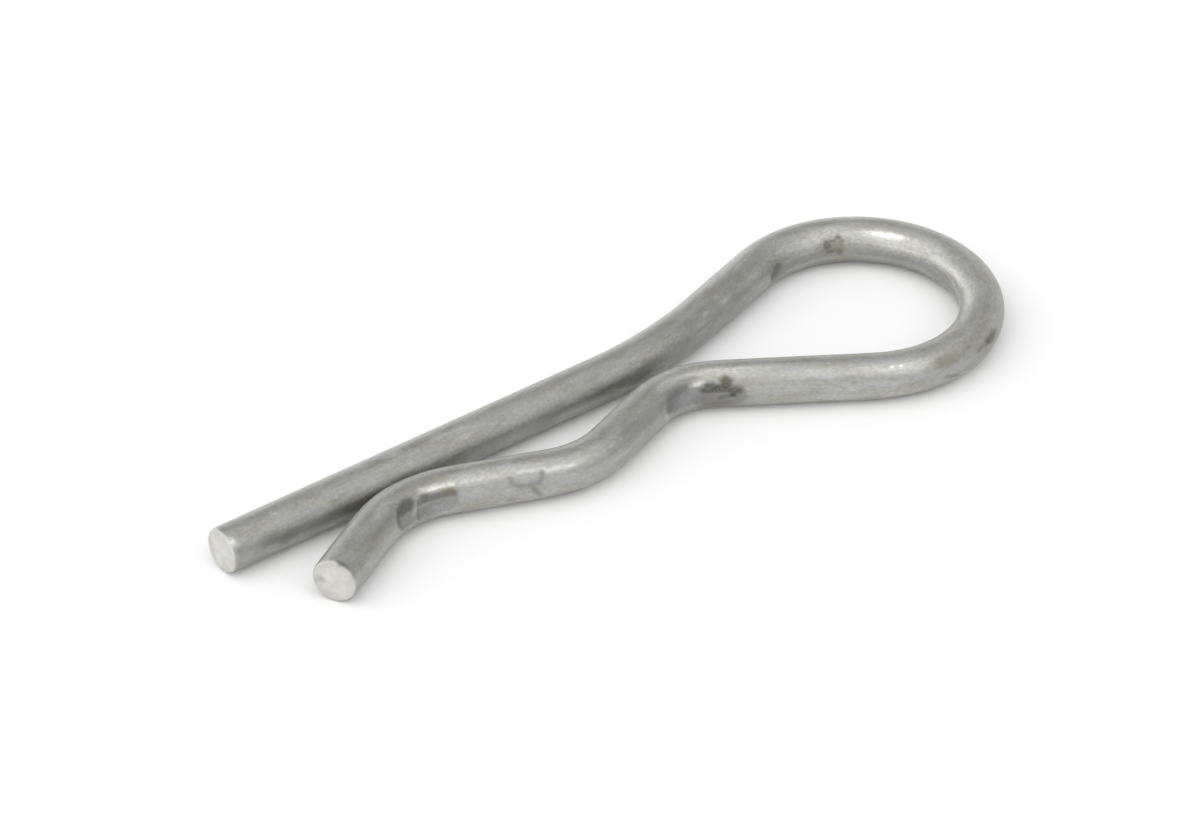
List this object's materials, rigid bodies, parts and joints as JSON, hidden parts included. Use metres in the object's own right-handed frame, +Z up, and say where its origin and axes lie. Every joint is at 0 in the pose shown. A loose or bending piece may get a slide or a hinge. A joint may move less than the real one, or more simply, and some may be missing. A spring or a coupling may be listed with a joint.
{
  "type": "hitch r clip pin",
  "caption": "Round spring wire bent flat: a straight leg for a shaft's cross hole, a spring loop, and a wavy leg that snaps round the outside of the shaft.",
  "frame": {"origin": "bottom centre of the bounding box: midway along the clip, level with the middle of the loop, on the surface that the clip lies on", "axes": "+X along the straight leg towards the loop, +Y towards the straight leg's side, +Z up from the surface that the clip lies on"},
  "size_m": [0.076, 0.025, 0.004],
  "materials": {
    "steel_wire": "cold-drawn spring steel wire with a satin grey skin, fine lines along its length, pressed flats inside the bends and pale sheared ends"
  },
  "bodies": {
    "root": {"clip": "steel_wire"}
  },
  "joints": []
}
